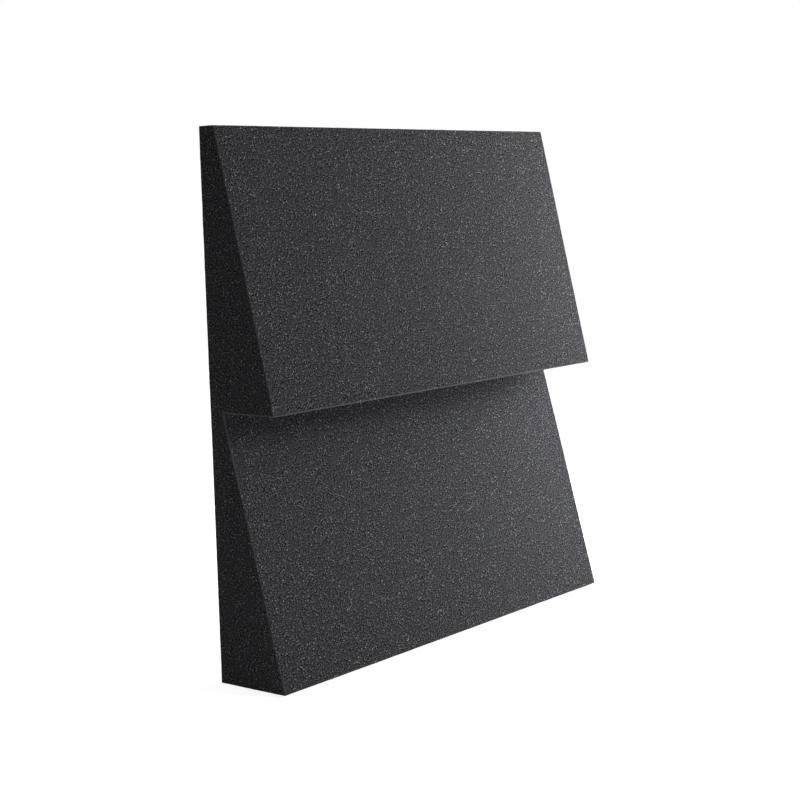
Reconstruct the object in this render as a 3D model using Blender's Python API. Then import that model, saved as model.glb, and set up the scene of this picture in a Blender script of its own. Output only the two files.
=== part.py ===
"""Ridged acoustic foam panel with self-adhesive tape pads on its back.

The panel is one contour-cut block of open-cell foam. Two saw teeth run across its whole width, and each
swells towards the bottom and ends in a sharp ridge. Five square pads of double-sided foam tape on the
flat back hold it to a wall. Each pad is still covered by its release liner, which peels upwards from the
finger tab at its lower edge and turns about the pad's upper edge.

Metres. X is the width, the teeth face -Y, Z is up, and the wall is the plane Y = 0. The origin is the
centre of the panel in the wall plane.
"""

import math

import bmesh
import bpy
from mathutils import Vector

# Foam block: thicknesses are measured from its flat back
PANEL_WIDTH = 0.305
PANEL_HEIGHT = 0.305
LEDGE_HEIGHT = 0.151
TOP_THICKNESS = 0.011
RIDGE_THICKNESS = 0.0475
VALLEY_THICKNESS = 0.0085
CUT_EDGE_WIDTH = 0.0012
CUT_EDGE_SEGMENTS = 2

# Tape pads
PAD_SIZE = 0.030
PAD_THICKNESS = 0.0010
PAD_CORNER_RADIUS = 0.0020
PAD_TO_PANEL_EDGE = 0.025

# Release liners
LINER_OVERHANG = 0.0005
LINER_THICKNESS = 0.0003
LINER_CORNER_RADIUS = 0.0020
FINGER_TAB_WIDTH = 0.014
FINGER_TAB_LENGTH = 0.007
FINGER_TAB_RADIUS = 0.0040
FINGER_TAB_ROOT_RADIUS = 0.0015

# Shared
TOUCHING_GAP = 0.0003
ARC_STEPS = 5
SHARP_ANGLE = math.radians(50)

# Planes from the wall forwards
LINER_INNER_Y = -LINER_THICKNESS
PAD_OUTER_Y = LINER_INNER_Y - TOUCHING_GAP
PAD_INNER_Y = PAD_OUTER_Y - PAD_THICKNESS
FOAM_BACK_Y = PAD_INNER_Y - TOUCHING_GAP

# Places of the pads, as steps across and up from the centre; left and right are as seen from the front
PAD_PLACES = {
    "top_left": (-1, 1),
    "top_right": (1, 1),
    "bottom_left": (-1, -1),
    "bottom_right": (1, -1),
    "centre": (0, 0),
}
PAD_STEP_X = PANEL_WIDTH / 2 - PAD_TO_PANEL_EDGE - PAD_SIZE / 2
PAD_STEP_Z = PANEL_HEIGHT / 2 - PAD_TO_PANEL_EDGE - PAD_SIZE / 2


def clear_scene():
    """Remove every object that the file holds."""
    for old in list(bpy.data.objects):
        bpy.data.objects.remove(old, do_unlink=True)


def plain_material(name, colour, roughness):
    """A Principled material with one colour."""
    material = bpy.data.materials.new(name)
    material.use_nodes = True
    shader = material.node_tree.nodes["Principled BSDF"]
    shader.inputs["Base Color"].default_value = (*colour, 1.0)
    shader.inputs["Roughness"].default_value = roughness
    shader.inputs["Metallic"].default_value = 0.0
    material.diffuse_color = (*colour, 1.0)
    return material


def add_object(name, shape, material, location=(0.0, 0.0, 0.0)):
    """Turn a bmesh into a named object with outward faces."""
    bmesh.ops.recalc_face_normals(shape, faces=shape.faces)
    mesh = bpy.data.meshes.new(name)
    shape.to_mesh(mesh)
    shape.free()
    mesh.shade_smooth()
    mesh.set_sharp_from_angle(angle=SHARP_ANGLE)
    mesh.materials.append(material)
    piece = bpy.data.objects.new(name, mesh)
    piece.location = location
    bpy.context.scene.collection.objects.link(piece)
    return piece


def extrude_outline(points, offset):
    """A bmesh solid made by moving a closed outline of 3-D points along an offset."""
    shape = bmesh.new()
    face = shape.faces.new([shape.verts.new(point) for point in points])
    moved = bmesh.ops.extrude_face_region(shape, geom=[face])
    top = [item for item in moved["geom"] if isinstance(item, bmesh.types.BMVert)]
    bmesh.ops.translate(shape, verts=top, vec=offset)
    return shape


def rounded_outline(corners):
    """The points of a closed plane outline. Each corner is (x, z, radius) and becomes an arc."""
    points = []
    for index, (x, z, radius) in enumerate(corners):
        corner = Vector((x, z))
        before = (Vector(corners[index - 1][:2]) - corner).normalized()
        after = (Vector(corners[(index + 1) % len(corners)][:2]) - corner).normalized()
        half_angle = before.angle(after) / 2
        tangent = radius / math.tan(half_angle)
        centre = corner + (before + after).normalized() * radius / math.sin(half_angle)
        start = corner + before * tangent - centre
        end = corner + after * tangent - centre
        sweep = -start.angle_signed(end)
        start_angle = math.atan2(start.y, start.x)
        for step in range(ARC_STEPS + 1):
            angle = start_angle + sweep * step / ARC_STEPS
            points.append(centre + radius * Vector((math.cos(angle), math.sin(angle))))
    return points


def foam_profile():
    """The saw-tooth section as (y, z) points, from the lower back corner upwards."""
    bottom = -PANEL_HEIGHT / 2
    ledge = bottom + LEDGE_HEIGHT
    top = bottom + PANEL_HEIGHT
    section = [
        (0.0, bottom),
        (0.0, top),
        (TOP_THICKNESS, top),
        (RIDGE_THICKNESS, ledge),
        (VALLEY_THICKNESS, ledge),
        (RIDGE_THICKNESS, bottom),
    ]
    return [(FOAM_BACK_Y - thickness, z) for thickness, z in section]


def make_foam_panel(material):
    """The block: the section drawn across the width, its outer edges slightly broken by the cut."""
    left = -PANEL_WIDTH / 2
    points = [(left, y, z) for y, z in foam_profile()]
    shape = extrude_outline(points, Vector((PANEL_WIDTH, 0.0, 0.0)))
    bmesh.ops.recalc_face_normals(shape, faces=shape.faces)
    shape.normal_update()
    outer_edges = [edge for edge in shape.edges if edge.is_convex]
    bmesh.ops.bevel(
        shape,
        geom=outer_edges,
        offset=CUT_EDGE_WIDTH,
        offset_type="OFFSET",
        segments=CUT_EDGE_SEGMENTS,
        profile=0.5,
        affect="EDGES",
    )
    return add_object("foam_panel", shape, material)


def make_pad(place, centre_x, centre_z, material):
    """A square of double-sided foam tape; its origin is the centre of the face that the liner covers."""
    half = PAD_SIZE / 2
    corners = [
        (-half, -half, PAD_CORNER_RADIUS),
        (half, -half, PAD_CORNER_RADIUS),
        (half, half, PAD_CORNER_RADIUS),
        (-half, half, PAD_CORNER_RADIUS),
    ]
    points = [(point.x, 0.0, point.y) for point in rounded_outline(corners)]
    shape = extrude_outline(points, Vector((0.0, -PAD_THICKNESS, 0.0)))
    return add_object(f"adhesive_pad_{place}", shape, material, (centre_x, PAD_OUTER_Y, centre_z))


def make_liner(place, centre_x, centre_z, material):
    """A release liner with a finger tab; its origin is the middle of its upper edge, where it turns."""
    half = PAD_SIZE / 2 + LINER_OVERHANG
    lower = -2 * half
    half_tab = FINGER_TAB_WIDTH / 2
    tab_end = lower - FINGER_TAB_LENGTH
    corners = [
        (half, 0.0, LINER_CORNER_RADIUS),
        (-half, 0.0, LINER_CORNER_RADIUS),
        (-half, lower, LINER_CORNER_RADIUS),
        (-half_tab, lower, FINGER_TAB_ROOT_RADIUS),
        (-half_tab, tab_end, FINGER_TAB_RADIUS),
        (half_tab, tab_end, FINGER_TAB_RADIUS),
        (half_tab, lower, FINGER_TAB_ROOT_RADIUS),
        (half, lower, LINER_CORNER_RADIUS),
    ]
    points = [(point.x, 0.0, point.y) for point in rounded_outline(corners)]
    shape = extrude_outline(points, Vector((0.0, LINER_THICKNESS, 0.0)))
    hinge = (centre_x, LINER_INNER_Y, centre_z + half)
    return add_object(f"release_liner_{place}", shape, material, hinge)


def main():
    clear_scene()
    foam = plain_material("charcoal_foam", (0.055, 0.056, 0.060), 0.95)
    tape = plain_material("white_foam_tape", (0.78, 0.77, 0.73), 0.60)
    paper = plain_material("liner_paper", (0.80, 0.72, 0.52), 0.45)
    make_foam_panel(foam)
    for place, (across, up) in PAD_PLACES.items():
        centre_x = across * PAD_STEP_X
        centre_z = up * PAD_STEP_Z
        make_pad(place, centre_x, centre_z, tape)
        make_liner(place, centre_x, centre_z, paper)


main()
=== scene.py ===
"""The looks of the ridged acoustic foam panel: cut open-cell foam, tape pads and release liners.

The camera stands where the photograph's did, at the front left of the panel. Metres, in the part's
own frame: X across, the teeth facing -Y, the wall side +Y, Z up.
"""

import math

import bmesh
import bpy
import numpy as np
from mathutils import Matrix, Vector, geometry, noise


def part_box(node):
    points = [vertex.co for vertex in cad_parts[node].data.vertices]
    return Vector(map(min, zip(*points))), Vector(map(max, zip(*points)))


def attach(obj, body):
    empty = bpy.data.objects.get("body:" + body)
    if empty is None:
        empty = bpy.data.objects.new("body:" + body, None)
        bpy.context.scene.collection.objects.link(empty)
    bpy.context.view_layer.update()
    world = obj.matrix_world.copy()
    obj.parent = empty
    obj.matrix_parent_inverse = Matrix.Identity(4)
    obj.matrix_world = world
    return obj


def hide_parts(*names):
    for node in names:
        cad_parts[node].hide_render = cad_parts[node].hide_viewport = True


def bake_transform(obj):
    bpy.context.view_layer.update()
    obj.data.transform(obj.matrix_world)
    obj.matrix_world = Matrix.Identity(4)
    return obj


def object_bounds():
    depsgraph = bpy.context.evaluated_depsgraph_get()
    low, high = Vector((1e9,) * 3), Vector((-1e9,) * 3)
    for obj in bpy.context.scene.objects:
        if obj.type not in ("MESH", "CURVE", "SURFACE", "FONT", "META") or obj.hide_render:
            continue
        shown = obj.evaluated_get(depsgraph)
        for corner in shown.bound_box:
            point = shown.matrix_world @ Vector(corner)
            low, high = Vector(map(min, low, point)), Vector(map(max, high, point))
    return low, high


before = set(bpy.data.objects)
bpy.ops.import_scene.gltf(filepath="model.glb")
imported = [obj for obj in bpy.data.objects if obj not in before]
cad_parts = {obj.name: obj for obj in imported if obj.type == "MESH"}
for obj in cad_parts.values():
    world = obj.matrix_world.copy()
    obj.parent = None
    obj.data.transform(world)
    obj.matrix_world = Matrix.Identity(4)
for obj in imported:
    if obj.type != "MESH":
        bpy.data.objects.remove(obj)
CAD_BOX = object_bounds()

MM = 0.001

# Camera
CAMERA_PLACE = Vector((-0.7696, -0.6443, 0.1114))
CAMERA_AIM = Vector((-0.0207, -0.0269, -0.0084))
CAMERA_ROLL = math.radians(-1.705)
CAMERA_LENS = 73.87
SENSOR_WIDTH = 36.0

# Foam block: thicknesses are measured from its flat back
FOAM_LOW, FOAM_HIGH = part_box("foam_panel")
FOAM_BACK_Y = FOAM_HIGH.y
LEDGE_HEIGHT = 0.151
TOP_THICKNESS = 0.011
RIDGE_THICKNESS = 0.0475
VALLEY_THICKNESS = 0.0085
NOTCH_END_HEIGHT = 2.8 * MM
# The corners of its section that point outwards
OUTER_CORNERS = (0, 1, 2, 3, 6)

# How far this block's cut strays from the ideal section at its left and right end, in millimetres
# forwards and up. One pair for each corner: back foot, back top, front top, ridge, the two at the
# notch end, and foot.
LEFT_STRAY = ((0, -0.2), (0, -0.3), (-0.2, -0.3), (0.25, 0), (1.1, 0), (1.1, 0), (0.9, 0.4))
RIGHT_STRAY = (
    (0, 0.3), (0, -0.4), (0.35, -0.4), (-0.95, 0.1), (-0.3, 0.1), (-0.3, 0.1), (1.15, 0.5)
)
# How far each end strays to the right at its foot and at its top
LEFT_STRAY_ACROSS = (-0.72, 0.37)
RIGHT_STRAY_ACROSS = (0.48, -0.13)
WARP_MARGIN = 0.5 * MM

# Foam mesh
EDGE_RADIUS = 0.5 * MM
EDGE_STEP = 0.2 * MM
EDGE_STEPS = 5
FACE_STEP = 2.0 * MM
# Rows of points on the cut ends keep this share of their distance from the outline
ROW_MARGIN = 0.9
QUAD_CORNERS = 4
TINY = 1e-9
# Asks Blender's triangulation for the triangles inside the outline
INSIDE_OUTLINE = 1

# Foam surface: how far it leaves the ideal shape and over what length, from broad waves to pores
FOAM_RELIEF = ((0.12 * MM, 80 * MM), (0.03 * MM, 9 * MM), (0.015 * MM, 1.7 * MM))
# The same for its ragged edges, and how soon the raggedness fades away from them
RAGGED_SIZE, RAGGED_LENGTH = 0.10 * MM, 2.6 * MM
RAGGED_BAND = 1.0 * MM

# Foam colour and grain. Shades are factors of the colour. Names in MM are in millimetres, and
# radii and walls in cells.
FOAM_COLOUR, FOAM_ROUGHNESS, FOAM_SPECULAR = (0.1057, 0.1060, 0.1130), 0.85, 0.02
# The grain lies flat on the rolled-out cut surface. Its turn is in radians, its cells are wider
# than high, and the two cut ends are laid out this many half widths from the middle.
GRAIN_TURN, CELL_STRETCH, ENDS_APART = 0.9, 1.25, 3
# A noise moves the grain about and tints it
WANDER_PER_MM, WANDER_MM, TINT = 1.6, 0.35, 0.75
# Each cell glows in its middle, and has a dark surround
CELL_MM = 1.05
CELL_GLOW, CELL_SURROUND = (0.09, 0.50), 0.26
CELL_DULLEST, CELL_BRIGHTEST, CELL_POWER = 0.445, 2.86, 4.0
BETWEEN_CELLS, DARKEST_PORE = 0.524, 0.085
# Struts are a finer pattern, moved off that of the cells
STRUT_MM, STRUT_OFFSET_MM = 0.45, (7.3, 3.1, 0.0)
STRUT_DARKEST, STRUT_PALEST, STRUT_POWER = 0.75, 1.35, 2.8
# Painted highlights: the odd closed cell window is a bright speck in the colour, standing in for
# light glinting off it
PAINTED_GLINT_MM, PAINTED_GLINT_RADIUS = 1.156, (0.125, 0.297)
PAINTED_GLINT_CHANCE, PAINTED_GLINT_SHARE = (0.955, 0.985), 0.60
PAINTED_GLINT_COLOUR = (0.88, 0.90, 0.93, 1)
# The cut ends have less contrast, about the mean shade
MEAN_SHADE, END_CONTRAST = 0.5, 0.8
# A pale line lies along the edges, partly fuzz and partly painted highlight. It is thickest and
# palest in a band about the ledge and the notch
EDGE_BAND_MM = (0.3, 1.0)
FUZZ_AND_HIGHLIGHT_SHARE, FUZZ_AND_HIGHLIGHT_SHADE, NOTCH_HIGHLIGHT_AND_FUZZ_SHADE = 0.4, 0.85, 1.27
NOTCH_BAND_RISE_MM, NOTCH_BAND_FALL_MM = (-60, -25), (2, 6)
# Cell walls stand out and cells lie at different levels, but not close to an edge
CELL_WALL, CELL_LEVELS = 0.12, 0.6
CELL_DEPTH, CELL_RELIEF = 0.12 * MM, 0.15
SMOOTH_BAND_MM = (0.6, 1.6)

# Tape, film and paper. Pairs of shades and of roughnesses are for the low and high end of a noise.
NOISE_SPAN, NOISE_DETAIL, NOISE_MEAN = (0.3, 0.7), 3.0, (0.5, 0.5, 0.5)
TAPE_COLOUR, TAPE_ROUGHNESS, TAPE_SPECULAR = (0.78, 0.77, 0.73), (0.55, 0.75), 0.3
TAPE_GRAIN_PER_MM, TAPE_GRAIN_SHADES = 3.5, (0.93, 1.04)
TAPE_BUBBLES_PER_MM, TAPE_WALL, TAPE_WALL_SHADES = 3.2, 0.2, (0.96, 1.0)
TAPE_DEPTH, TAPE_RELIEF = 0.06 * MM, 0.5
FILM_COLOUR, FILM_ROUGHNESS, FILM_SPECULAR = (0.66, 0.62, 0.52), (0.12, 0.3), 0.5
FILM_CLOUDS_PER_MM, FILM_CLOUD_SHADES = 0.35, (0.9, 1.05)
FILM_BUBBLES_PER_MM, FILM_BUBBLE_RADIUS, FILM_BUBBLE_PALE = 0.7, (0.1, 0.2), 0.12
FILM_DEPTH, FILM_RELIEF = 0.05 * MM, 0.6
PAPER_COLOUR, PAPER_ROUGHNESS, PAPER_SPECULAR = (0.80, 0.70, 0.48), (0.28, 0.42), 0.5
PAPER_CLOUDS_PER_MM, PAPER_CLOUD_SHADES = 0.25, (0.93, 1.06)
FIBRES_PER_MM, FIBRE_STRETCH, FIBRE_SHADES = 5.0, (1.0, 1.0, 0.12), (0.94, 1.05)
CREASES_PER_MM, CREASE_STRETCH = 1.0, (0.06, 1.0, 0.5)
CREASE_DETAIL, CREASE_HEIGHT = 1.0, 1.5
PAPER_DEPTH, PAPER_RELIEF = 0.08 * MM, 0.35

# Tape pads, films and liners
PAD_SIDES = ("top_left", "top_right", "bottom_left", "bottom_right", "centre")
PAD_CORNER = 2.0 * MM
# How far in a pad's edge lies, in millimetres, at each share of its thickness
PAD_EDGE = ((0.0, 0.15), (0.12, 0.03), (0.35, 0.0), (0.65, 0.0), (0.88, 0.03), (1.0, 0.15))
PAD_WAVE, PAD_WAVE_LENGTH = 0.06 * MM, 4 * MM
PLATE_STEP = 1.0 * MM
ARC_STEPS = 6
LAYER_GAP = 0.02 * MM
FILM_THICKNESS = 0.06 * MM
FILM_INSET = 0.25 * MM
LINER_THICKNESS = 0.16 * MM
LINER_WAVE, LINER_WAVE_LENGTH = 0.05 * MM, 11 * MM
FINGER_TAB_WIDTH = 14 * MM
FINGER_TAB_LENGTH = 7 * MM
FINGER_TAB_CORNER = 4 * MM
FINGER_TAB_ROOT = 1.5 * MM
TAB_LIFT = 1.4 * MM

# Seeds of the meshes' noise, one for each use, and how far a seed of 1 moves it
FOAM_SEED, RAGGED_SEED, PAD_SEEDS, LINER_SEED = 1, 4, (11, 12), 21
SEED_SHIFT = (17.3, -9.1, 5.7)

# Softboxes: name, place, point that it faces, width and height, power, colour
WHITE = (1.0, 1.0, 1.0)
LAMPS = (
    ("right_softbox", (0.5, -0.12, 0.045), (0, 0, 0), 0.25, 3.9, (0.98, 0.995, 1.02)),
    ("near_softbox", (0.3, -0.12, 0.12), (0, 0, 0), 0.25, 0.52, WHITE),
    ("front_softbox", (0.3, -0.8, 0.4), (0, 0, 0), 0.25, 2.2, WHITE),
    ("back_fill", (0.15, 1.0, -0.02), (0, 0, 0), 0.6, 5, WHITE),
    ("left_fill", (-0.42, 0.05, -0.09), (-0.15, -0.02, -0.09), 0.1, 0.026, WHITE),
)
WORLD_LIGHT = 0.135

# Floor: how white it looks to the camera near the panel, where its shadow falls, and far from it
FLOOR_RADIUS, FLOOR_SIDES, FLOOR_GAP = 12, 96, 0.3 * MM
FLOOR_PAINT = (0.8, 0.8, 0.8, 1)
FLOOR_NEAR, FLOOR_FAR = 0.30, 0.90
FLOOR_GLOW_NEAR, FLOOR_GLOW_FAR = 0.85, 1.0


def smooth_noise(points, length, seed):
    """Noise from -1 to 1 at each point, with features of about the given length."""
    shift = Vector([seed * step for step in SEED_SHIFT])
    return np.array([noise.noise(Vector(point) / length + shift) for point in points])


def spread(length):
    """Distances along a side: close together near its two ends, where the edge is rounded."""
    near = [EDGE_STEP * step for step in range(EDGE_STEPS + 1)]
    middle = length - 2 * near[-1]
    count = max(1, round(middle / FACE_STEP))
    between = [near[-1] + middle * step / count for step in range(1, count)]
    return near + between + [length - distance for distance in reversed(near)]


def edge_distances(points, polygon):
    """How far each plane point is from the nearest side of a polygon, and that side's point."""
    best = np.full(len(points), np.inf)
    nearest = np.zeros_like(points)
    for index, start in enumerate(polygon):
        side = polygon[(index + 1) % len(polygon)] - start
        along = np.clip((points - start) @ side / (side @ side), 0, 1)
        foot = start + along[:, None] * side
        distance = np.linalg.norm(points - foot, axis=1)
        closer = distance < best
        best[closer] = distance[closer]
        nearest[closer] = foot[closer]
    return best, nearest


def inside(points, polygon):
    """Which plane points lie inside a polygon."""
    result = np.zeros(len(points), bool)
    for index, (u0, v0) in enumerate(polygon):
        u1, v1 = polygon[(index + 1) % len(polygon)]
        crosses = (v0 > points[:, 1]) != (v1 > points[:, 1])
        rise = v1 - v0 if v1 != v0 else 1.0
        result ^= crosses & (points[:, 0] < (u1 - u0) * (points[:, 1] - v0) / rise + u0)
    return result


def inset_polygon(polygon, distance):
    """A polygon with every side moved inwards, whichever way round its corners run."""
    following = np.roll(polygon, -1, axis=0)
    area = sum(a[0] * b[1] - a[1] * b[0] for a, b in zip(polygon, following))
    turn = 1 if area > 0 else -1
    moved = []
    for index, corner in enumerate(polygon):
        normals = []
        for side in (corner - polygon[index - 1], following[index] - corner):
            side = side / np.linalg.norm(side)
            normals.append(turn * np.array([-side[1], side[0]]))
        bisector = normals[0] + normals[1]
        moved.append(corner + bisector * distance / (1 + normals[0] @ normals[1]))
    return np.array(moved)


def hex_points(polygon, step, margin):
    """Evenly spaced plane points inside a polygon, at least margin from its sides."""
    low, high = polygon.min(0), polygon.max(0)
    rows = np.arange(low[1], high[1], step * math.sqrt(3) / 2)
    points = []
    for index, row in enumerate(rows):
        for column in np.arange(low[0] + (index % 2) * step / 2, high[0], step):
            points.append((column, row))
    points = np.array(points)
    points = points[inside(points, polygon)]
    return points[edge_distances(points, polygon)[0] > margin]


def skin(rings, levels, inner):
    """Vertices (u, v, level) and faces of a closed skin.

    The rings are like outlines of equal length, one at each level, joined by quads. The two ends
    are closed by triangles over the ring and the inner points.
    """
    count = len(rings[0])
    vertices = [(u, v, level) for ring, level in zip(rings, levels) for u, v in ring]
    faces = []
    for level in range(len(rings) - 1):
        for index in range(count):
            here, after = level * count + index, level * count + (index + 1) % count
            faces.append((here, after, after + count, here + count))
    for level in (0, len(rings) - 1):
        flat = [Vector(point) for point in rings[level]] + [Vector(point) for point in inner]
        made, _, triangles, origins, _, _ = geometry.delaunay_2d_cdt(
            flat, [], [list(range(count))], INSIDE_OUTLINE, TINY
        )
        place = []
        for point, origin in zip(made, origins):
            if origin and origin[0] < count:
                place.append(level * count + origin[0])
            else:
                place.append(len(vertices))
                vertices.append((point.x, point.y, levels[level]))
        faces += [tuple(place[corner] for corner in triangle) for triangle in triangles]
    return np.array(vertices), faces


def add_piece(name, vertices, faces, material):
    """A smooth-shaded mesh object with its faces outwards."""
    mesh = bpy.data.meshes.new(name)
    mesh.from_pydata([tuple(vertex) for vertex in vertices], [], faces)
    shape = bmesh.new()
    shape.from_mesh(mesh)
    bmesh.ops.recalc_face_normals(shape, faces=shape.faces)
    shape.to_mesh(mesh)
    shape.free()
    mesh.shade_smooth()
    mesh.materials.append(material)
    piece = bpy.data.objects.new(name, mesh)
    bpy.context.scene.collection.objects.link(piece)
    return piece


def filled_in(points, step):
    """A closed outline with points added along its long sides."""
    full = []
    for index, start in enumerate(points):
        side = points[(index + 1) % len(points)] - start
        count = max(1, round(side.length / step))
        full += [start + side * part / count for part in range(count)]
    return np.array([tuple(point) for point in full])


def rounded_outline(corners):
    """The points of a closed plane outline. Each corner is (u, v, radius) and becomes an arc."""
    points = []
    for index, (u, v, radius) in enumerate(corners):
        corner = Vector((u, v))
        before = (Vector(corners[index - 1][:2]) - corner).normalized()
        after = (Vector(corners[(index + 1) % len(corners)][:2]) - corner).normalized()
        half_angle = before.angle(after) / 2
        centre = corner + (before + after).normalized() * radius / math.sin(half_angle)
        start = corner + before * radius / math.tan(half_angle) - centre
        end = corner + after * radius / math.tan(half_angle) - centre
        sweep = -start.angle_signed(end)
        for step in range(ARC_STEPS + 1):
            turn = Matrix.Rotation(sweep * step / ARC_STEPS, 2)
            points.append(centre + turn @ start)
    return filled_in(points, PLATE_STEP)


class Nodes:
    """Short calls for a node tree."""

    def __init__(self, tree):
        self.tree = tree

    def add(self, kind, inputs=None, **settings):
        node = self.tree.nodes.new(kind)
        for key, value in settings.items():
            setattr(node, key, value)
        for key, value in (inputs or {}).items():
            self.put(node.inputs[key], value)
        return node

    def put(self, socket, value):
        if isinstance(value, bpy.types.NodeSocket):
            self.tree.links.new(value, socket)
        else:
            socket.default_value = value

    def math(self, operation, *values):
        inputs = dict(enumerate(values))
        return self.add("ShaderNodeMath", inputs, operation=operation).outputs[0]

    def vector(self, operation, *values):
        inputs = dict(enumerate(values))
        return self.add("ShaderNodeVectorMath", inputs, operation=operation).outputs[0]

    def scaled(self, vector, factor):
        inputs = {0: vector, "Scale": factor}
        return self.add("ShaderNodeVectorMath", inputs, operation="SCALE").outputs[0]

    def ramp(self, value, low, high, from_value=0.0, to_value=1.0):
        """One value where the input is low, another where it is high, and a soft step between."""
        inputs = {
            "Value": value,
            "From Min": low,
            "From Max": high,
            "To Min": from_value,
            "To Max": to_value,
        }
        node = self.add("ShaderNodeMapRange", inputs, interpolation_type="SMOOTHSTEP")
        return node.outputs["Result"]

    def seen_directly(self):
        """1 for what the camera sees, also in a reflection or through glass, and else 0."""
        path = self.add("ShaderNodeLightPath").outputs
        seen = path["Is Camera Ray"]
        for kind in ("Is Glossy Ray", "Is Transmission Ray"):
            seen = self.math("MAXIMUM", seen, path[kind])
        return seen


class Shader(Nodes):
    """Short calls for a new material. Places are in millimetres."""

    def __init__(self, name):
        self.material = bpy.data.materials.new(name)
        self.material.use_nodes = True
        super().__init__(self.material.node_tree)
        self.surface = self.tree.nodes["Principled BSDF"]

    def attribute(self, name, output="Fac"):
        return self.add("ShaderNodeAttribute", attribute_name=name).outputs[output]

    def millimetres(self):
        """The object's own coordinates."""
        return self.scaled(self.add("ShaderNodeTexCoord").outputs["Object"], 1 / MM)

    def noise(self, place, per_mm, detail=0.0):
        inputs = {"Vector": place, "Scale": per_mm, "Detail": detail}
        return self.add("ShaderNodeTexNoise", inputs).outputs

    def cells(self, place, per_mm, feature, dimensions="3D"):
        inputs = {"Vector": place, "Scale": per_mm, "Randomness": 1.0}
        settings = {"feature": feature, "voronoi_dimensions": dimensions}
        return self.add("ShaderNodeTexVoronoi", inputs, **settings).outputs

    def chances(self, cell):
        """Three random numbers of a cell: Red, Green and Blue."""
        return self.add("ShaderNodeSeparateColor", {"Color": cell["Color"]}).outputs

    def drawn(self, chance, low, high, power):
        """A value from low to high by a random number. A higher power makes high ones rarer."""
        rare = self.math("POWER", chance, power)
        return self.math("MULTIPLY_ADD", rare, high - low, low)

    def mixed(self, share, first, second):
        """Two colours mixed. The numbers are those of the Mix node's colour sockets."""
        inputs = {"Factor": share, 6: first, 7: second}
        return self.add("ShaderNodeMix", inputs, data_type="RGBA").outputs[2]

    def set(self, **values):
        for key, value in values.items():
            self.put(self.surface.inputs[key.replace("_", " ")], value)

    def bump(self, height, distance, strength):
        inputs = {"Height": height, "Distance": distance, "Strength": strength}
        self.put(self.surface.inputs["Normal"], self.add("ShaderNodeBump", inputs).outputs[0])


def foam_material():
    """Cut open-cell foam: cells that catch the light in dark surrounds, a finer grain of struts,
    and painted highlights, bright specks in the colour where the odd closed cell window glints."""
    s = Shader("charcoal_foam")
    place = s.attribute("cut_surface_mm", "Vector")
    wander = s.vector("SUBTRACT", s.noise(place, WANDER_PER_MM)["Color"], NOISE_MEAN)
    place = s.vector("ADD", place, s.scaled(wander, WANDER_MM))

    cell = s.cells(place, 1 / CELL_MM, "F1", "2D")
    chances = s.chances(cell)
    bright = s.drawn(chances["Red"], CELL_DULLEST, CELL_BRIGHTEST, CELL_POWER)
    glow = s.ramp(cell["Distance"], *CELL_GLOW, 1.0, -CELL_SURROUND)
    shade = s.math("MULTIPLY_ADD", glow, bright, BETWEEN_CELLS)
    shade = s.math("MAXIMUM", shade, DARKEST_PORE)

    strut = s.cells(s.vector("ADD", place, STRUT_OFFSET_MM), 1 / STRUT_MM, "F1", "2D")
    pale = s.drawn(s.chances(strut)["Red"], STRUT_DARKEST, STRUT_PALEST, STRUT_POWER)
    shade = s.math("MULTIPLY", shade, pale)

    contrast = s.ramp(s.attribute("cut_end"), 0.0, 1.0, 1.0, END_CONTRAST)
    shade = s.math("MULTIPLY_ADD", s.math("SUBTRACT", shade, MEAN_SHADE), contrast, MEAN_SHADE)

    # Painted highlights: bright specks mixed into the colour stand in for light glinting off closed
    # cell windows
    highlight_cell = s.cells(place, 1 / PAINTED_GLINT_MM, "F1", "2D")
    highlight_strength = s.ramp(s.chances(highlight_cell)["Green"], *PAINTED_GLINT_CHANCE, 0.0, PAINTED_GLINT_SHARE)
    painted_glint = s.math("MULTIPLY", s.ramp(highlight_cell["Distance"], *PAINTED_GLINT_RADIUS, 1.0, 0.0), highlight_strength)
    painted_glint = s.math("MULTIPLY", painted_glint, contrast)

    # Painted highlight: the edges are paled in the colour, partly as fuzz, most in a band about the
    # ledge and the notch
    edge = s.attribute("edge_distance_mm")
    height = s.add("ShaderNodeSeparateXYZ", {"Vector": s.millimetres()}).outputs["Z"]
    below = s.ramp(height, *NOTCH_BAND_FALL_MM, 1.0, 0.0)
    near_notch = s.math("MULTIPLY", s.ramp(height, *NOTCH_BAND_RISE_MM), below)
    # How much of the grain the pale edge line, part fuzz and part painted highlight, covers
    thickness = s.ramp(near_notch, 0.0, 1.0, FUZZ_AND_HIGHLIGHT_SHARE, 1.0)
    edge_fuzz_and_highlight = s.math("MULTIPLY", s.ramp(edge, *EDGE_BAND_MM, 1.0, 0.0), thickness)
    shade = s.math("MULTIPLY", shade, s.math("SUBTRACT", 1.0, edge_fuzz_and_highlight))
    fuzz_and_highlight_shade = s.ramp(near_notch, 0.0, 1.0, FUZZ_AND_HIGHLIGHT_SHADE, NOTCH_HIGHLIGHT_AND_FUZZ_SHADE)
    shade = s.math("MULTIPLY_ADD", edge_fuzz_and_highlight, fuzz_and_highlight_shade, shade)

    hue = s.vector("ADD", s.scaled(wander, TINT), WHITE)
    # The painted highlight specks are mixed into the base colour here
    colour = s.mixed(painted_glint, s.vector("MULTIPLY", s.scaled(FOAM_COLOUR, shade), hue), PAINTED_GLINT_COLOUR)
    s.set(Base_Color=colour, Roughness=FOAM_ROUGHNESS, Specular_IOR_Level=FOAM_SPECULAR)
    to_wall = s.cells(place, 1 / CELL_MM, "DISTANCE_TO_EDGE", "2D")["Distance"]
    wall = s.ramp(to_wall, 0.0, CELL_WALL, 1.0, 0.0)
    relief = s.math("MULTIPLY_ADD", chances["Blue"], CELL_LEVELS, wall)
    s.bump(relief, CELL_DEPTH, s.ramp(edge, *SMOOTH_BAND_MM, 0.0, CELL_RELIEF))
    return s.material


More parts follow.
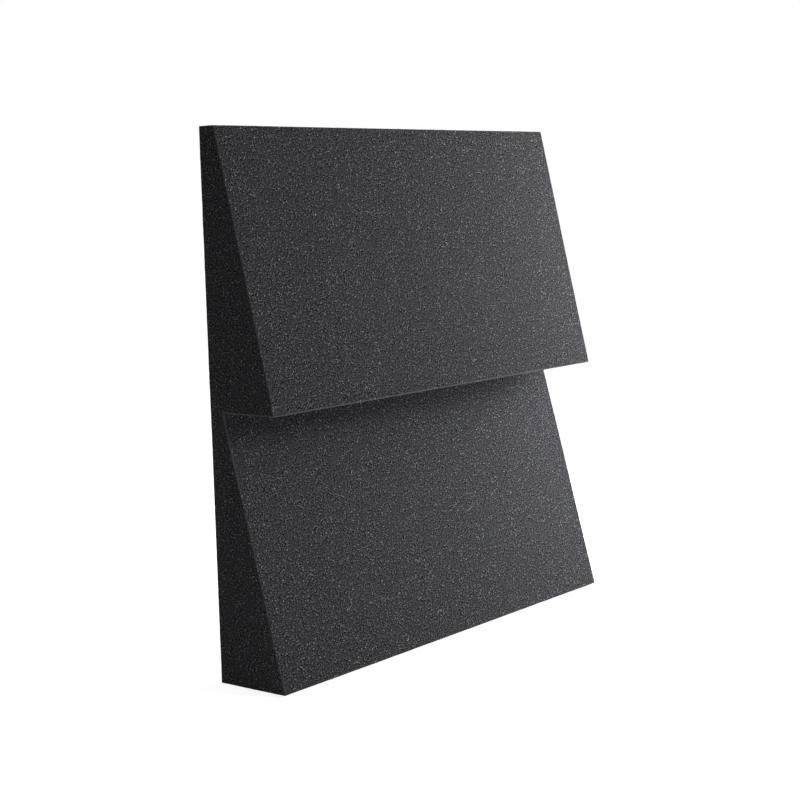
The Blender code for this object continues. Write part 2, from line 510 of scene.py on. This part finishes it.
def tape_material():
    """White closed-cell foam tape: a fine even grain, slightly yellow."""
    s = Shader("white_foam_tape")
    place = s.millimetres()
    grain = s.noise(place, TAPE_GRAIN_PER_MM, NOISE_DETAIL)["Fac"]
    bubbles = s.cells(place, TAPE_BUBBLES_PER_MM, "DISTANCE_TO_EDGE")["Distance"]
    tone = s.math(
        "MULTIPLY",
        s.ramp(grain, *NOISE_SPAN, *TAPE_GRAIN_SHADES),
        s.ramp(bubbles, 0, TAPE_WALL, *TAPE_WALL_SHADES),
    )
    s.set(Base_Color=s.scaled(TAPE_COLOUR, tone), Specular_IOR_Level=TAPE_SPECULAR)
    s.set(Roughness=s.ramp(grain, *NOISE_SPAN, *TAPE_ROUGHNESS))
    s.bump(bubbles, TAPE_DEPTH, TAPE_RELIEF)
    return s.material


def film_material():
    """Tacky acrylic adhesive: clear amber, glossy, with a few trapped bubbles."""
    s = Shader("adhesive_film")
    place = s.millimetres()
    cloud = s.noise(place, FILM_CLOUDS_PER_MM, NOISE_DETAIL)["Fac"]
    middle = s.cells(place, FILM_BUBBLES_PER_MM, "F1")["Distance"]
    bubble = s.ramp(middle, *FILM_BUBBLE_RADIUS, 1, 0)
    tone = s.ramp(cloud, *NOISE_SPAN, *FILM_CLOUD_SHADES)
    tone = s.math("MULTIPLY_ADD", bubble, FILM_BUBBLE_PALE, tone)
    s.set(Base_Color=s.scaled(FILM_COLOUR, tone), Specular_IOR_Level=FILM_SPECULAR)
    s.set(Roughness=s.ramp(cloud, *NOISE_SPAN, *FILM_ROUGHNESS))
    s.bump(s.math("ADD", cloud, bubble), FILM_DEPTH, FILM_RELIEF)
    return s.material


def liner_material():
    """Yellow glassine release paper: fine fibres, faint creases, a silicone sheen."""
    s = Shader("liner_paper")
    place = s.millimetres()
    stretched = s.vector("MULTIPLY", place, FIBRE_STRETCH)
    fibre = s.noise(stretched, FIBRES_PER_MM, NOISE_DETAIL)["Fac"]
    cloud = s.noise(place, PAPER_CLOUDS_PER_MM, NOISE_DETAIL)["Fac"]
    stretched = s.vector("MULTIPLY", place, CREASE_STRETCH)
    crease = s.noise(stretched, CREASES_PER_MM, CREASE_DETAIL)["Fac"]
    tone = s.math(
        "MULTIPLY",
        s.ramp(fibre, *NOISE_SPAN, *FIBRE_SHADES),
        s.ramp(cloud, *NOISE_SPAN, *PAPER_CLOUD_SHADES),
    )
    s.set(Base_Color=s.scaled(PAPER_COLOUR, tone), Specular_IOR_Level=PAPER_SPECULAR)
    s.set(Roughness=s.ramp(cloud, *NOISE_SPAN, *PAPER_ROUGHNESS))
    s.bump(s.math("MULTIPLY_ADD", crease, CREASE_HEIGHT, fibre), PAPER_DEPTH, PAPER_RELIEF)
    return s.material


def foam_profile():
    """The saw-tooth section as (y, z) corners, from the lower back corner upwards."""
    bottom, top = FOAM_LOW.z, FOAM_HIGH.z
    ledge = bottom + LEDGE_HEIGHT
    slope = (RIDGE_THICKNESS - VALLEY_THICKNESS) / LEDGE_HEIGHT
    notch_end = VALLEY_THICKNESS + slope * NOTCH_END_HEIGHT
    section = [
        (0.0, bottom),
        (0.0, top),
        (TOP_THICKNESS, top),
        (RIDGE_THICKNESS, ledge),
        (notch_end, ledge),
        (notch_end, ledge - NOTCH_END_HEIGHT),
        (RIDGE_THICKNESS, bottom),
    ]
    return np.array([(FOAM_BACK_Y - thickness, z) for thickness, z in section])


def foam_ring(profile):
    """Points round the section, close together at its corners."""
    ring = []
    for index, start in enumerate(profile):
        side = profile[(index + 1) % len(profile)] - start
        length = np.linalg.norm(side)
        ring += [start + side * distance / length for distance in spread(length)[:-1]]
    return np.array(ring)


def foam_end_points(profile):
    """Points inside the section for its two cut ends: rows along the outline, then an even fill."""
    points = []
    for step in range(1, EDGE_STEPS + 1):
        margin = EDGE_STEP * step
        row = foam_ring(inset_polygon(profile, margin))
        points.append(row[edge_distances(row, profile)[0] > ROW_MARGIN * margin])
    band = EDGE_STEP * EDGE_STEPS
    points.append(hex_points(profile, FACE_STEP, band + FACE_STEP / 2))
    return np.concatenate(points)


def round_edges(vertices, profile, half_width):
    """Moves points of the sharp block (y, z, x) onto the same block with its edges rounded.

    Each point goes to EDGE_RADIUS from the nearest point of the block made smaller by that radius.
    """
    core = inset_polygon(profile, EDGE_RADIUS)
    flat = vertices[:, :2]
    nearest = edge_distances(flat, core)[1]
    within = inside(flat, core)
    nearest[within] = flat[within]
    limit = half_width - EDGE_RADIUS
    anchor = np.column_stack([nearest, np.clip(vertices[:, 2], -limit, limit)])
    outward = vertices - anchor
    length = np.linalg.norm(outward, axis=1, keepdims=True)
    return anchor + outward * EDGE_RADIUS / np.maximum(length, TINY)


def distance_to_edges(vertices, profile, half_width):
    """How far each point of the sharp block (y, z, x) is from the nearest of its edges."""
    flat = vertices[:, :2]
    to_end = half_width - np.abs(vertices[:, 2])
    to_rim = np.hypot(edge_distances(flat, profile)[0], to_end)
    outer = [profile[index] for index in OUTER_CORNERS]
    to_corner = np.min([np.linalg.norm(flat - corner, axis=1) for corner in outer], axis=0)
    return np.minimum(to_rim, to_corner)


def corner_weights(points, polygon):
    """How much each corner of a polygon counts at points inside it (mean value coordinates)."""
    spokes = polygon[None] - points[:, None]
    lengths = np.linalg.norm(spokes, axis=2)
    following = np.roll(spokes, -1, axis=1)
    dot = (spokes * following).sum(2)
    cross = spokes[..., 0] * following[..., 1] - spokes[..., 1] * following[..., 0]
    half_tangent = (lengths * np.roll(lengths, -1, axis=1) - dot) / cross
    weights = (half_tangent + np.roll(half_tangent, 1, axis=1)) / lengths
    return weights / weights.sum(1, keepdims=True)


def warp(points, profile, half_width):
    """Moves points (y, z, x) of the ideal block to where this block's uneven cut puts them."""
    weights = corner_weights(points[:, :2], inset_polygon(profile, -WARP_MARGIN))
    rightness = (points[:, 2:] + half_width) / (2 * half_width)
    left, right = weights @ np.array(LEFT_STRAY), weights @ np.array(RIGHT_STRAY)
    forwards_up = left * (1 - rightness) + right * rightness
    height = (points[:, 1:2] - FOAM_LOW.z) / (FOAM_HIGH.z - FOAM_LOW.z)
    foot, head = (
        at_left * (1 - rightness) + at_right * rightness
        for at_left, at_right in zip(LEFT_STRAY_ACROSS, RIGHT_STRAY_ACROSS)
    )
    across = foot * (1 - height) + head * height
    return points + MM * np.column_stack([-forwards_up[:, 0], forwards_up[:, 1], across])


def cut_surface_places(mesh, ring, levels, sharp):
    """Where each face corner lies on the cut surface, in millimetres on a plane.

    The sides of the block are rolled out: one number across, the other round the section. The two
    cut ends lie flat beside them. The whole is turned, so that no row of cells runs along an edge.
    """
    count = len(ring)
    sides = np.linalg.norm(np.roll(ring, -1, axis=0) - ring, axis=1)
    round_section = np.concatenate([[0.0], np.cumsum(sides)])
    corners = np.zeros(len(mesh.loops), np.int32)
    mesh.loops.foreach_get("vertex_index", corners)
    depth, height, across = sharp[corners].T
    quads = len(levels) - 1
    on_side = np.arange(len(corners)) < QUAD_CORNERS * quads * count
    # The last quad round the section ends where the first one starts, a whole round further on
    step = corners % count
    last_quad = np.zeros(len(corners), bool)
    last_in_ring = np.tile(np.arange(count) == count - 1, quads)
    last_quad[on_side] = np.repeat(last_in_ring, QUAD_CORNERS)
    step[last_quad & (step == 0)] = count
    first = np.where(on_side, across, depth + ENDS_APART * across)
    second = np.where(on_side, round_section[step], height)
    cosine, sine = math.cos(GRAIN_TURN), math.sin(GRAIN_TURN)
    turn = np.array([[cosine, sine], [-sine, cosine]])
    places = np.zeros((len(corners), 3))
    places[:, :2] = np.column_stack([first / CELL_STRETCH, second]) @ turn / MM
    return places


def vectors(items, name):
    """A row of three numbers for each item of a mesh."""
    values = np.zeros(len(items) * 3)
    items.foreach_get(name, values)
    return values.reshape(-1, 3)


def make_foam(material):
    """The foam block, with rounded and slightly ragged cut edges."""
    profile = foam_profile()
    half_width = (FOAM_HIGH.x - FOAM_LOW.x) / 2
    ring = foam_ring(profile)
    levels = [distance - half_width for distance in spread(2 * half_width)]
    sharp, faces = skin([ring] * len(levels), levels, foam_end_points(profile))
    edge = distance_to_edges(sharp, profile, half_width)
    rounded = warp(round_edges(sharp, profile, half_width), profile, half_width)
    piece = add_piece("foam_block", rounded[:, [2, 0, 1]], faces, material)

    mesh = piece.data
    points = vectors(mesh.vertices, "co")
    relief = np.zeros(len(points))
    for seed, (size, length) in enumerate(FOAM_RELIEF, FOAM_SEED):
        relief += size * smooth_noise(points, length, seed)
    ragged = np.exp(-edge / RAGGED_BAND)
    relief += RAGGED_SIZE * ragged * smooth_noise(points, RAGGED_LENGTH, RAGGED_SEED)
    moved = points + vectors(mesh.vertex_normals, "vector") * relief[:, None]
    mesh.vertices.foreach_set("co", moved.ravel())
    on_end = np.abs(sharp[:, 2]) > half_width - EDGE_STEP / 2
    for name, values in (("edge_distance_mm", edge / MM), ("cut_end", on_end)):
        attribute = mesh.attributes.new(name, "FLOAT", "POINT")
        attribute.data.foreach_set("value", values.astype(np.float32))
    places = cut_surface_places(mesh, ring, levels, sharp).astype(np.float32)
    attribute = mesh.attributes.new("cut_surface_mm", "FLOAT_VECTOR", "CORNER")
    attribute.data.foreach_set("vector", places.ravel())
    mesh.update()

    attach(piece, "panel")
    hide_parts("foam_panel")


def square_outline(centre, half, corner):
    """A square with rounded corners about a centre (u, v)."""
    u, v = centre
    signs = ((-1, -1), (1, -1), (1, 1), (-1, 1))
    return rounded_outline([(u + i * half, v + j * half, corner) for i, j in signs])


def make_pad(side, material):
    """A die-cut square of foam tape: its edges bulge a little and are slightly uneven."""
    low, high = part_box(f"adhesive_pad_{side}")
    centre = ((low.x + high.x) / 2, (low.z + high.z) / 2)
    half = (high.x - low.x) / 2
    rings = [square_outline(centre, half - inset * MM, PAD_CORNER) for _, inset in PAD_EDGE]
    levels = [low.y + share * (high.y - low.y) for share, _ in PAD_EDGE]
    fill = hex_points(rings[0], PLATE_STEP, PLATE_STEP / 2)
    vertices, faces = skin(rings, levels, fill)
    for column, seed in enumerate(PAD_SEEDS):
        vertices[:, column] += PAD_WAVE * smooth_noise(vertices, PAD_WAVE_LENGTH, seed)
    piece = add_piece(f"tape_pad_{side}", vertices[:, [0, 2, 1]], faces, material)
    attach(piece, "panel")
    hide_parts(f"adhesive_pad_{side}")


def make_film(side, material):
    """The adhesive film on the pad's outer face, which shows once the liner is peeled."""
    low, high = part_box(f"adhesive_pad_{side}")
    centre = ((low.x + high.x) / 2, (low.z + high.z) / 2)
    ring = square_outline(centre, (high.x - low.x) / 2 - FILM_INSET, PAD_CORNER)
    inner = high.y + LAYER_GAP
    fill = hex_points(ring, PLATE_STEP, PLATE_STEP / 2)
    vertices, faces = skin([ring, ring], [inner, inner + FILM_THICKNESS], fill)
    piece = add_piece(f"adhesive_film_{side}", vertices[:, [0, 2, 1]], faces, material)
    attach(piece, "panel")


def make_liner(side, seed, material):
    """A release liner: its finger tab stands a little off the foam."""
    low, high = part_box(f"release_liner_{side}")
    middle = (low.x + high.x) / 2
    half = (high.x - low.x) / 2
    root = low.z + FINGER_TAB_LENGTH
    half_tab = FINGER_TAB_WIDTH / 2
    corners = [
        (middle + half, high.z, PAD_CORNER),
        (middle - half, high.z, PAD_CORNER),
        (middle - half, root, PAD_CORNER),
        (middle - half_tab, root, FINGER_TAB_ROOT),
        (middle - half_tab, low.z, FINGER_TAB_CORNER),
        (middle + half_tab, low.z, FINGER_TAB_CORNER),
        (middle + half_tab, root, FINGER_TAB_ROOT),
        (middle + half, root, PAD_CORNER),
    ]
    ring = rounded_outline(corners)
    fill = hex_points(ring, PLATE_STEP, PLATE_STEP / 2)
    inner = low.y + LAYER_GAP
    vertices, faces = skin([ring, ring], [inner, inner + LINER_THICKNESS], fill)
    below = np.clip((root - vertices[:, 1]) / FINGER_TAB_LENGTH, 0, 1)
    flat = vertices * (1, 1, 0)
    vertices[:, 2] += TAB_LIFT * below**2
    vertices[:, 2] += LINER_WAVE * (1 + smooth_noise(flat, LINER_WAVE_LENGTH, seed))
    piece = add_piece(f"liner_{side}", vertices[:, [0, 2, 1]], faces, material)
    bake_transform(piece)
    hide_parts(f"release_liner_{side}")


def make_camera():
    """The photograph's viewpoint, found from the panel's corners."""
    data = bpy.data.cameras.new("camera")
    data.lens = CAMERA_LENS
    data.sensor_width = SENSOR_WIDTH
    camera = bpy.data.objects.new("camera", data)
    bpy.context.scene.collection.objects.link(camera)
    turn = (CAMERA_AIM - CAMERA_PLACE).to_track_quat("-Z", "Y").to_matrix()
    turn = turn @ Matrix.Rotation(CAMERA_ROLL, 3, "Z")
    camera.matrix_world = Matrix.Translation(CAMERA_PLACE) @ turn.to_4x4()
    bpy.context.scene.camera = camera


def area_light(name, place, aim, side, power, colour):
    """A square softbox that faces a point."""
    data = bpy.data.lights.new(name, "AREA")
    data.shape = "SQUARE"
    data.size = side
    data.energy = power
    data.color = colour
    light = bpy.data.objects.new(name, data)
    light.location = place
    light.rotation_euler = (Vector(aim) - Vector(place)).to_track_quat("-Z", "Y").to_euler()
    light.visible_camera = False
    bpy.context.scene.collection.objects.link(light)


def make_world():
    """White behind the object, and an even soft light on it."""
    world = bpy.data.worlds.new("studio")
    bpy.context.scene.world = world
    world.use_nodes = True
    nodes = Nodes(world.node_tree)
    inputs = {"Value": nodes.seen_directly(), "To Min": WORLD_LIGHT, "To Max": 1.0}
    strength = nodes.add("ShaderNodeMapRange", inputs).outputs["Result"]
    background = nodes.tree.nodes["Background"]
    nodes.put(background.inputs["Color"], (*WHITE, 1))
    nodes.put(background.inputs["Strength"], strength)


def make_floor():
    """A white floor that shows the panel's soft shadow and fades into the white behind it."""
    bpy.ops.mesh.primitive_circle_add(
        vertices=FLOOR_SIDES, radius=FLOOR_RADIUS, fill_type="NGON"
    )
    floor = bpy.context.object
    floor.name = "floor"
    floor.location.z = CAD_BOX[0].z - FLOOR_GAP
    s = Shader("floor_white")
    s.tree.nodes.remove(s.surface)
    place = s.add("ShaderNodeTexCoord").outputs["Object"]
    distance = s.add("ShaderNodeVectorMath", {0: place}, operation="LENGTH").outputs["Value"]
    fade = s.ramp(distance, FLOOR_NEAR, FLOOR_FAR, FLOOR_GLOW_NEAR, FLOOR_GLOW_FAR)
    strength = s.math("MULTIPLY", s.seen_directly(), fade)
    glow = s.add("ShaderNodeEmission", {"Strength": strength}).outputs[0]
    paint = s.add("ShaderNodeBsdfDiffuse", {"Color": FLOOR_PAINT}).outputs[0]
    both = s.add("ShaderNodeAddShader", {0: paint, 1: glow}).outputs[0]
    s.put(s.tree.nodes["Material Output"].inputs["Surface"], both)
    floor.data.materials.append(s.material)


def main():
    make_camera()
    foam, tape, film, paper = foam_material(), tape_material(), film_material(), liner_material()
    make_foam(foam)
    for seed, side in enumerate(PAD_SIDES, LINER_SEED):
        make_pad(side, tape)
        make_film(side, film)
        make_liner(side, seed, paper)
    make_world()
    make_floor()
    for lamp in LAMPS:
        area_light(*lamp)
    bpy.context.scene.view_settings.view_transform = "Standard"


main()
